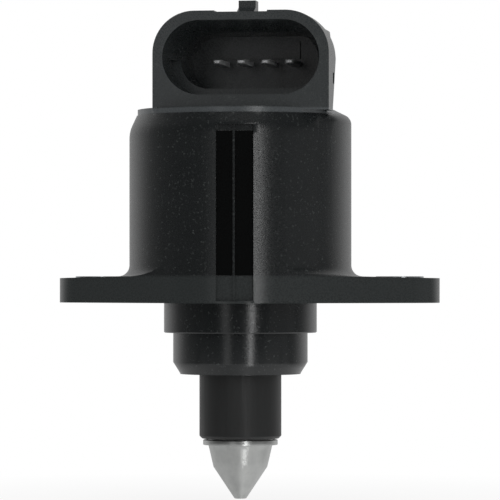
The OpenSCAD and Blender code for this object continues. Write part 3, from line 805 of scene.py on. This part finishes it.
class VALVE_OT_connector_head(bpy.types.Operator):
    """Rounds the connector head's edges and gives it its moulded nylon"""

    bl_idname = "valve.connector_head"
    bl_label = "Connector head"

    def execute(self, context):
        head = softened("connector_head", "connector_head_moulding", sizes().mould_edge, shape_head)
        stand_in(head, "connector_head", head_nylon(colours()))
        return {"FINISHED"}


class VALVE_OT_terminals(bpy.types.Operator):
    """Gives the terminals rounded edges and tin plate"""

    bl_idname = "valve.terminals"
    bl_label = "Terminals"

    def execute(self, context):
        tin = tin_plate(colours())
        for node in sorted(n for n in frame["nodes"] if n.startswith("terminal_")):
            blade = softened(node, node + "_blade", sizes().metal_edge)
            stand_in(blade, node, tin)
        return {"FINISHED"}


class VALVE_OT_bushes(bpy.types.Operator):
    """Gives the flange's bushes rounded edges and zinc plate"""

    bl_idname = "valve.bushes"
    bl_label = "Flange bushes"

    def execute(self, context):
        zinc = zinc_plate(colours())
        for node in ("flange_bush_left", "flange_bush_right"):
            bush = softened(node, node + "_plated", sizes().metal_edge)
            stand_in(bush, node, zinc)
        give(frame["nodes"]["thrust_washer"], zinc)
        return {"FINISHED"}


class VALVE_OT_plunger(bpy.types.Operator):
    """Finishes the sleeve and the cone"""

    bl_idname = "valve.plunger"
    bl_label = "Plunger"

    def execute(self, context):
        sleeve = softened("plunger_sleeve", "plunger_sleeve_moulding", sizes().mould_edge / 2)
        stand_in(sleeve, "plunger_sleeve", acetal(colours()))
        cone = softened("pintle_cone", "pintle_cone_turned", sizes().metal_edge)
        stand_in(cone, "pintle_cone", turned_metal(colours()))
        return {"FINISHED"}


class VALVE_OT_lead_screw(bpy.types.Operator):
    """Cuts the thread of the lead screw"""

    bl_idname = "valve.lead_screw"
    bl_label = "Lead screw"

    def execute(self, context):
        zinc = bpy.data.materials["zinc_plated_steel"]
        low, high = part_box("lead_screw")
        bottom, top = low.z / MM, high.z / MM
        crest = high.x / MM
        root = crest - sizes().thread_depth
        spigot_r, spigot_length, plain_length, run_out = 1.6, 5.0, 4.0, 0.5
        shoulder = bottom + spigot_length
        start = shoulder + plain_length
        profile = (
            (0, bottom),
            (spigot_r, bottom),
            (spigot_r, shoulder),
            (crest, shoulder),
            (crest, start - run_out),
            (root, start),
            (root, top),
            (0, top),
        )
        screw = lathed("lead_screw_thread", profile)
        length = top - start - sizes().thread_pitch
        values = {
            "Radius": root * MM,
            "Turns": length / sizes().thread_pitch,
            "Start": (start + sizes().thread_pitch / 2) * MM,
            "Length": length * MM,
            "Section radius": sizes().thread_depth * MM,
            "Section corners": 4,
            "Material": zinc,
        }
        add_helix(screw, values)
        stand_in(screw, "lead_screw", zinc)
        return {"FINISHED"}


class VALVE_OT_stator(bpy.types.Operator):
    """Finishes the pole steel, the bobbins and the windings"""

    bl_idname = "valve.stator"
    bl_label = "Stator"

    def execute(self, context):
        steel = pressed_steel(colours())
        cream = bobbin_plastic(colours())
        copper = enamelled_copper(colours())
        for node in ("front_pole_cup", "front_pole_plate", "rear_pole_plate", "rear_pole_cup"):
            give(frame["nodes"][node], steel)
        for node in ("front_bobbin", "rear_bobbin", "bearing_cage"):
            give(frame["nodes"][node], cream)
        wire = sizes().wire * MM
        sunk, coil_edge = wire / 10, 0.05
        for node in ("front_winding", "rear_winding"):
            low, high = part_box(node)
            coil = softened(node, node + "_turns", coil_edge)
            length = high.z - low.z - wire
            values = {
                "Radius": high.x - sunk,
                "Turns": length / wire,
                "Start": low.z + wire / 2,
                "Length": length,
                "Section radius": wire / 2,
                "Section corners": 8,
                "Material": copper,
            }
            add_helix(coil, values)
            stand_in(coil, node, copper)
        return {"FINISHED"}


class VALVE_OT_rotor(bpy.types.Operator):
    """Finishes the rotor and its bearings"""

    bl_idname = "valve.rotor"
    bl_label = "Rotor and bearings"

    def execute(self, context):
        give(frame["nodes"]["rotor_magnet"], bonded_ferrite(colours()))
        brass = turned_brass(colours())
        for node in ("rotor_hub", "rear_bush"):
            give(frame["nodes"][node], brass)
        ground = ground_steel(colours())
        for node in ("bearing_inner_ring", "bearing_outer_ring", "bearing_balls"):
            give(frame["nodes"][node], ground)
        return {"FINISHED"}


# Studio


def turned(azimuth):
    """The unit vectors towards the camera and to its right, for an azimuth in degrees."""
    a = math.radians(azimuth)
    return Vector((math.sin(a), -math.cos(a), 0)), Vector((math.cos(a), math.sin(a), 0))


def soft_lamp(name, azimuth, height, distance, size, power):
    """A rectangular lamp on a circle round the valve, aimed at it."""
    data = bpy.data.lights.new(name, "AREA")
    data.shape = "RECTANGLE"
    data.size, data.size_y = size
    data.energy = power
    lamp = bpy.data.objects.new(name, data)
    bpy.context.scene.collection.objects.link(lamp)
    towards, _ = turned(azimuth)
    middle = Vector((0, 0, (CAD_BOX[0].z + CAD_BOX[1].z) / 2))
    lamp.location = middle + towards * distance + Vector((0, 0, height))
    lamp.rotation_euler = (lamp.location - middle).to_track_quat("Z", "Y").to_euler()


def white_world():
    """White behind the valve, dim in front of it, as a dark room round a white table mirrors."""
    world = bpy.data.worlds.new("studio")
    bpy.context.scene.world = world
    world.use_nodes = True
    tree = world.node_tree
    tree.nodes.clear()
    path = add_node(tree, "ShaderNodeLightPath")
    seen = combine(
        tree, "MAXIMUM", path.outputs["Is Camera Ray"], path.outputs["Is Transmission Ray"]
    )
    towards, right = turned(studio().azimuth)
    way = add_node(tree, "ShaderNodeTexCoord").outputs["Generated"]
    facing = add_node(
        tree, "ShaderNodeVectorMath", {"operation": "DOT_PRODUCT", 1: towards}, {0: way}
    ).outputs["Value"]
    aside = add_node(
        tree, "ShaderNodeVectorMath", {"operation": "DOT_PRODUCT", 1: right}, {0: way}
    ).outputs["Value"]
    height = add_node(tree, "ShaderNodeSeparateXYZ", links={"Vector": way}).outputs["Z"]
    just_down, steeply_down = -0.1, -0.35
    down = spread(tree, height, just_down, steeply_down, 0.0, 1.0)
    mirrored = blend_colours(
        tree, down, levels(tree, facing, MIRRORED), levels(tree, aside, MIRRORED_BELOW)
    )
    gloss = combine(tree, "MULTIPLY", path.outputs["Is Glossy Ray"], mirrored)
    soft = combine(tree, "MULTIPLY", path.outputs["Is Diffuse Ray"], studio().ambient)
    level = combine(tree, "MAXIMUM", seen, combine(tree, "MAXIMUM", gloss, soft))
    background = add_node(
        tree, "ShaderNodeBackground", {"Color": (1, 1, 1, 1)}, {"Strength": level}
    )
    add_node(tree, "ShaderNodeOutputWorld", links={"Surface": background.outputs[0]})


def pale_floor():
    """A white floor just under the tip, which keeps a soft shadow near the valve only."""
    clearance = 1.4 * MM
    half = 3.0
    height = CAD_BOX[0].z - clearance
    mesh = bpy.data.meshes.new("floor")
    corners = [(-half, -half), (half, -half), (half, half), (-half, half)]
    mesh.from_pydata([(x, y, height) for x, y in corners], [], [(0, 1, 2, 3)])
    floor = link("floor", mesh)
    material = bpy.data.materials.new("white_paper")
    material.use_nodes = True
    tree = material.node_tree
    tree.nodes.clear()
    path = add_node(tree, "ShaderNodeLightPath")
    seen = combine(
        tree, "MAXIMUM", path.outputs["Is Camera Ray"], path.outputs["Is Transmission Ray"]
    )
    place = add_node(tree, "ShaderNodeTexCoord").outputs["Object"]
    reach = add_node(tree, "ShaderNodeVectorMath", {"operation": "LENGTH"}, {0: place})
    shadow_r, clear_r, shadow_share = 45 * MM, 110 * MM, 0.86
    clear = spread(tree, reach.outputs["Value"], shadow_r, clear_r, shadow_share, 1.0)
    paper = add_node(tree, "ShaderNodeBsdfDiffuse", {"Color": linear("#f4f4f4")})
    glow = add_node(tree, "ShaderNodeEmission", {"Color": (1, 1, 1, 1), "Strength": 1.0})
    open_air = add_node(tree, "ShaderNodeBsdfTransparent")
    share = combine(tree, "MULTIPLY", seen, clear)
    lit = add_node(
        tree, "ShaderNodeMixShader", links={0: share, 1: paper.outputs[0], 2: glow.outputs[0]}
    )
    both = add_node(
        tree,
        "ShaderNodeMixShader",
        links={0: path.outputs["Is Glossy Ray"], 1: lit.outputs[0], 2: open_air.outputs[0]},
    )
    add_node(tree, "ShaderNodeOutputMaterial", links={"Surface": both.outputs[0]})
    give(floor, material)


def set_camera():
    """The camera level with the flange, a little to the right of the socket's side."""
    values = studio()
    towards, right = turned(values.azimuth)
    data = bpy.data.cameras.new("camera")
    data.sensor_width = 36
    data.lens = data.sensor_width * values.distance / (values.view_width * MM)
    data.clip_start = 0.01
    data.clip_end = 20
    camera = bpy.data.objects.new("camera", data)
    bpy.context.scene.collection.objects.link(camera)
    camera.location = towards * values.distance + Vector((0, 0, values.eye_height * MM))
    aim = right * values.aim_side * MM + Vector((0, 0, values.aim_height * MM))
    camera.rotation_euler = (camera.location - aim).to_track_quat("Z", "Y").to_euler()
    bpy.context.scene.camera = camera


class VALVE_OT_stage(bpy.types.Operator):
    """Sets the floor, the world, the lamps and the camera"""

    bl_idname = "valve.stage"
    bl_label = "Stage"

    def execute(self, context):
        bpy.context.scene.view_settings.view_transform = "Standard"
        set_camera()
        white_world()
        pale_floor()
        for name, angle, height, distance, size, power in LAMPS:
            soft_lamp(name, studio().azimuth + angle, height, distance, size, power)
        return {"FINISHED"}


class VALVE_PT_panel(bpy.types.Panel):
    """Lists the valve's steps in the sidebar"""

    bl_idname = "VALVE_PT_panel"
    bl_label = "Idle air control valve"
    bl_space_type = "VIEW_3D"
    bl_region_type = "UI"
    bl_category = "Valve"

    def draw(self, context):
        for operator in OPERATORS:
            self.layout.operator(operator.bl_idname)
        for group in (sizes(), colours(), studio()):
            column = self.layout.column()
            for name in group.bl_rna.properties.keys():
                if name not in ("rna_type", "name"):
                    column.prop(group, name)


OPERATORS = (
    VALVE_OT_stage,
    VALVE_OT_housing,
    VALVE_OT_connector_head,
    VALVE_OT_terminals,
    VALVE_OT_bushes,
    VALVE_OT_plunger,
    VALVE_OT_lead_screw,
    VALVE_OT_stator,
    VALVE_OT_rotor,
)
GROUPS = (ValveSizes, ValveColours, ValveStudio)


def register():
    """Makes the add-on's classes and the scene's properties known to Blender."""
    for item in GROUPS + OPERATORS + (VALVE_PT_panel,):
        bpy.utils.register_class(item)
    bpy.types.Scene.valve_sizes = PointerProperty(type=ValveSizes)
    bpy.types.Scene.valve_colours = PointerProperty(type=ValveColours)
    bpy.types.Scene.valve_studio = PointerProperty(type=ValveStudio)


def unregister():
    """Takes the properties and the classes away again, in reverse order."""
    del bpy.types.Scene.valve_studio
    del bpy.types.Scene.valve_colours
    del bpy.types.Scene.valve_sizes
    for item in reversed(GROUPS + OPERATORS + (VALVE_PT_panel,)):
        bpy.utils.unregister_class(item)


def main():
    """Builds the finished valve."""
    register()
    bpy.ops.valve.stage()
    bpy.ops.valve.housing()
    bpy.ops.valve.connector_head()
    bpy.ops.valve.terminals()
    bpy.ops.valve.bushes()
    bpy.ops.valve.plunger()
    bpy.ops.valve.lead_screw()
    bpy.ops.valve.stator()
    bpy.ops.valve.rotor()


if __name__ == "__main__":
    main()
